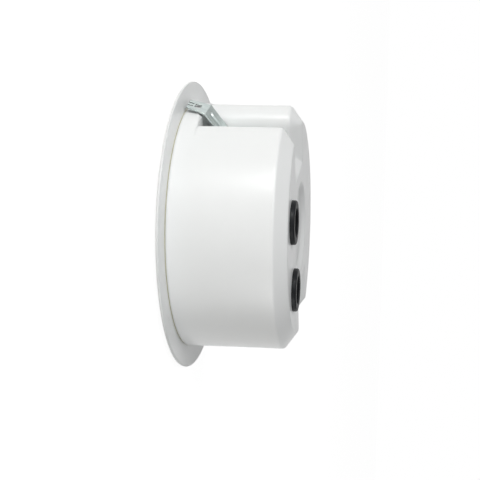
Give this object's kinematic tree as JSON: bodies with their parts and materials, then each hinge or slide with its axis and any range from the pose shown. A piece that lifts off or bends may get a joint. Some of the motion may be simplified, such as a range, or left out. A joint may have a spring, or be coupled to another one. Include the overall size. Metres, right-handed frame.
{
  "type": "in-ceiling speaker",
  "caption": "Round flush-mount ceiling loudspeaker with a slotted grille, a closed plastic back can with cable entries, and spring clamps that fold into channels and grip the ceiling board.",
  "frame": {"origin": "centre of the bezel's front plane, on the speaker's axis", "axes": "+Z along the speaker's axis from the front to the rear of the can; the clamps lie on +X and -X; the cable entries are toward -Y"},
  "size_m": [0.1964, 0.1964, 0.0814],
  "materials": {
    "white_plastic": "smooth glossy white moulding",
    "baffle_plastic": "fine-grained black moulding",
    "screen_cloth": "fine black scrim",
    "gasket_foam": "cream foam strip",
    "grommet_rubber": "matt black rubber",
    "clamp_zinc": "zinc-plated sheet steel",
    "pin_steel": "bright drawn steel",
    "spring_steel": "zinc-plated spring wire",
    "screw_steel": "zinc-plated screws",
    "basket_paint": "black painted pressed steel",
    "driver_card": "card ring",
    "surround_cloth": "treated black cloth",
    "cone_paper": "dark pressed paper",
    "former_film": "amber film",
    "copper_wire": "enamelled copper wire",
    "spider_cloth": "resin-treated woven cloth",
    "magnet_steel": "plated mild steel",
    "ferrite": "grey-black ferrite",
    "tag_board": "brown laminate board",
    "core_steel": "varnished laminations",
    "winding_tape": "taped winding",
    "strap_steel": "plated steel strap",
    "block_plastic": "ivory moulding"
  },
  "bodies": {
    "housing": {"bezel": "white_plastic", "grille": "white_plastic", "back_can": "white_plastic", "baffle": "baffle_plastic", "dust_screen": "screen_cloth", "can_gasket": "gasket_foam", "grommet_left": "grommet_rubber", "grommet_right": "grommet_rubber", "hinge_pin_left": "pin_steel", "hinge_pin_right": "pin_steel", "can_screws": "screw_steel", "driver_screws": "screw_steel", "transformer_screws": "screw_steel", "terminal_screws": "screw_steel", "block_screws": "screw_steel", "driver_basket": "basket_paint", "driver_gasket": "driver_card", "surround": "surround_cloth", "spider": "spider_cloth", "top_plate": "magnet_steel", "yoke": "magnet_steel", "magnet": "ferrite", "tag_strip": "tag_board", "transformer_core": "core_steel", "transformer_coil": "winding_tape", "transformer_strap": "strap_steel", "terminal_block": "block_plastic"},
    "left_clamp": {"clamp_left": "clamp_zinc", "torsion_spring_left": "spring_steel"},
    "right_clamp": {"clamp_right": "clamp_zinc", "torsion_spring_right": "spring_steel"},
    "diaphragm": {"cone": "cone_paper", "whizzer_cone": "cone_paper", "dust_cap": "cone_paper", "coil_former": "former_film", "coil_winding": "copper_wire"}
  },
  "joints": [
    {"name": "clamp_left_fold", "type": "hinge", "parent": "housing", "child": "left_clamp", "pos_m": [-0.055, 0, 0.0415], "axis": [0, 1, 0], "range_deg": [0, 120], "stiffness_Nm_per_rad": 0.15, "springref_deg": -85.94},
    {"name": "clamp_right_fold", "type": "hinge", "parent": "housing", "child": "right_clamp", "pos_m": [0.055, 0, 0.0415], "axis": [0, -1, 0], "range_deg": [0, 120], "stiffness_Nm_per_rad": 0.15, "springref_deg": -85.94},
    {"name": "cone_travel", "type": "slide", "parent": "housing", "child": "diaphragm", "axis": [0, 0, 1], "range_m": [-0.002, 0.002], "stiffness_N_per_m": 800}
  ]
}
